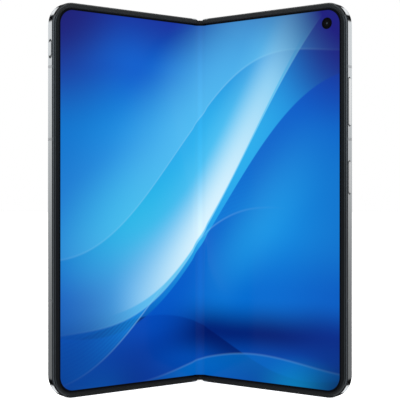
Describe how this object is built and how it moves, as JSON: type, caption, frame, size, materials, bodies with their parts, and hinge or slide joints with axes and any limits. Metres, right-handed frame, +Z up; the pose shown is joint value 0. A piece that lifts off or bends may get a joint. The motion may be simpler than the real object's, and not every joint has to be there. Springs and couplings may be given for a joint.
{
  "type": "foldable smartphone",
  "caption": "Book-style foldable phone standing half open: two slim metal-framed halves joined by a geared hinge under one bending display.",
  "frame": {"origin": "centre of the bounding box in plan, at the bottom edge the phone stands on", "axes": "+Z up along the fold, -Y towards the viewer who reads the inner display, +X towards the right half"},
  "size_m": [0.1194, 0.0472, 0.156],
  "materials": {
    "frame_metal": "satin, anodised silver",
    "band_plastic": "matte grey",
    "black_plastic": "fine matte black",
    "screen": "glossy, lit",
    "dark_screen": "glossy, off",
    "back_glass": "frosted dark glass",
    "lens_glass": "polished",
    "flash_plastic": "clear with fine rings",
    "steel": "brushed",
    "bronze": "spring bronze",
    "flex_film": "amber film",
    "board_green": "solder mask",
    "battery_wrap": "dark foil"
  },
  "bodies": {
    "hinge": {"hinge_spine_cover": "frame_metal", "hinge_end_caps": "black_plastic", "hinge_guide_blocks": "steel", "gear_bearing_plates": "steel", "friction_clips": "bronze", "centre_support_plate": "steel", "hinge_screws": "steel", "hinge_flex": "flex_film", "display_fold": "screen"},
    "right_half": {"right_frame": "frame_metal", "right_antenna_bands": "band_plastic", "right_bezel": "black_plastic", "right_display": "screen", "right_display_plate": "steel", "right_swing_arms": "steel", "right_sync_guide": "steel", "right_screws": "steel", "rear_cover": "back_glass", "camera_island": "frame_metal", "camera_lenses": "lens_glass", "camera_modules": "black_plastic", "flash_lens": "flash_plastic", "inner_camera": "black_plastic", "main_board": "board_green", "board_shields": "steel", "right_battery": "battery_wrap", "sub_board": "board_green", "charging_socket": "steel", "loudspeaker": "black_plastic", "vibration_motor": "steel", "card_reader": "steel", "side_key_flex": "flex_film"},
    "left_half": {"left_frame": "frame_metal", "left_antenna_bands": "band_plastic", "left_bezel": "black_plastic", "left_display": "screen", "left_display_plate": "steel", "left_swing_arms": "steel", "left_sync_guide": "steel", "left_screws": "steel", "cover_glass": "dark_screen", "cover_display": "dark_screen", "cover_camera": "black_plastic", "left_board": "board_green", "left_battery": "battery_wrap", "earpiece_speaker": "black_plastic", "slider_switch": "black_plastic"},
    "card_tray": {"card_tray": "frame_metal"},
    "volume_rocker": {"volume_rocker": "frame_metal"},
    "power_key": {"power_key": "frame_metal"},
    "alert_slider": {"alert_slider": "frame_metal"},
    "right_sync_arm": {"right_sync_arm": "steel"},
    "left_sync_arm": {"left_sync_arm": "steel"},
    "right_idler_gear": {"right_idler_gear": "steel"},
    "left_idler_gear": {"left_idler_gear": "steel"},
    "right_wing_plate": {"right_wing_plate": "steel"},
    "left_wing_plate": {"left_wing_plate": "steel"}
  },
  "joints": [
    {"name": "right_fold", "type": "hinge", "parent": "hinge", "child": "right_half", "pos_m": [0.0016, 0.01989, 0.078], "axis": [0, 0, -1], "range_deg": [-37, 53], "deforming": ["display_fold", "hinge_flex"]},
    {"name": "left_fold", "type": "hinge", "parent": "hinge", "child": "left_half", "pos_m": [-0.0016, 0.01989, 0.078], "axis": [0, 0, 1], "range_deg": [-37, 53]},
    {"name": "right_sync", "type": "hinge", "parent": "hinge", "child": "right_sync_arm", "pos_m": [0.00225, 0.02089, 0.078], "axis": [0, 0, -1], "range_deg": [-37, 53]},
    {"name": "left_sync", "type": "hinge", "parent": "hinge", "child": "left_sync_arm", "pos_m": [-0.00225, 0.02089, 0.078], "axis": [0, 0, 1], "range_deg": [-37, 53]},
    {"name": "right_idler", "type": "hinge", "parent": "hinge", "child": "right_idler_gear", "pos_m": [0.00075, 0.02089, 0.078], "axis": [0, 0, 1], "range_deg": [-37, 53]},
    {"name": "left_idler", "type": "hinge", "parent": "hinge", "child": "left_idler_gear", "pos_m": [-0.00075, 0.02089, 0.078], "axis": [0, 0, -1], "range_deg": [-37, 53]},
    {"name": "right_wing", "type": "hinge", "parent": "right_half", "child": "right_wing_plate", "pos_m": [0.00461, 0.01724, 0.078], "axis": [0, 0, -1], "range_deg": [-5.8, 8.3]},
    {"name": "left_wing", "type": "hinge", "parent": "left_half", "child": "left_wing_plate", "pos_m": [-0.00461, 0.01724, 0.078], "axis": [0, 0, 1], "range_deg": [-5.8, 8.3]},
    {"name": "volume_press", "type": "hinge", "parent": "right_half", "child": "volume_rocker", "pos_m": [0.0567, -0.02107, 0.1165], "axis": [0.6018, 0.7986, 0], "range_deg": [-0.8, 0.8], "stiffness_Nm_per_rad": 2},
    {"name": "power_press", "type": "slide", "parent": "right_half", "child": "power_key", "axis": [-0.7986, 0.6018, 0], "range_m": [0, 0.0002], "stiffness_N_per_m": 4000, "springref_m": -0.00005},
    {"name": "alert_slide", "type": "slide", "parent": "left_half", "child": "alert_slider", "axis": [0, 0, 1], "range_m": [-0.0008, 0.0008]},
    {"name": "tray_slide", "type": "slide", "parent": "right_half", "child": "card_tray", "axis": [0, 0, -1], "range_m": [0, 0.012]}
  ],
  "couplings": [
    {"joint": "left_fold", "follows": "right_fold", "ratio": 1},
    {"joint": "right_sync", "follows": "right_fold", "ratio": 1},
    {"joint": "left_sync", "follows": "right_fold", "ratio": 1},
    {"joint": "right_idler", "follows": "right_fold", "ratio": 1},
    {"joint": "left_idler", "follows": "right_fold", "ratio": 1},
    {"joint": "right_wing", "follows": "right_fold", "ratio": 0.15556},
    {"joint": "left_wing", "follows": "right_fold", "ratio": 0.15556}
  ]
}
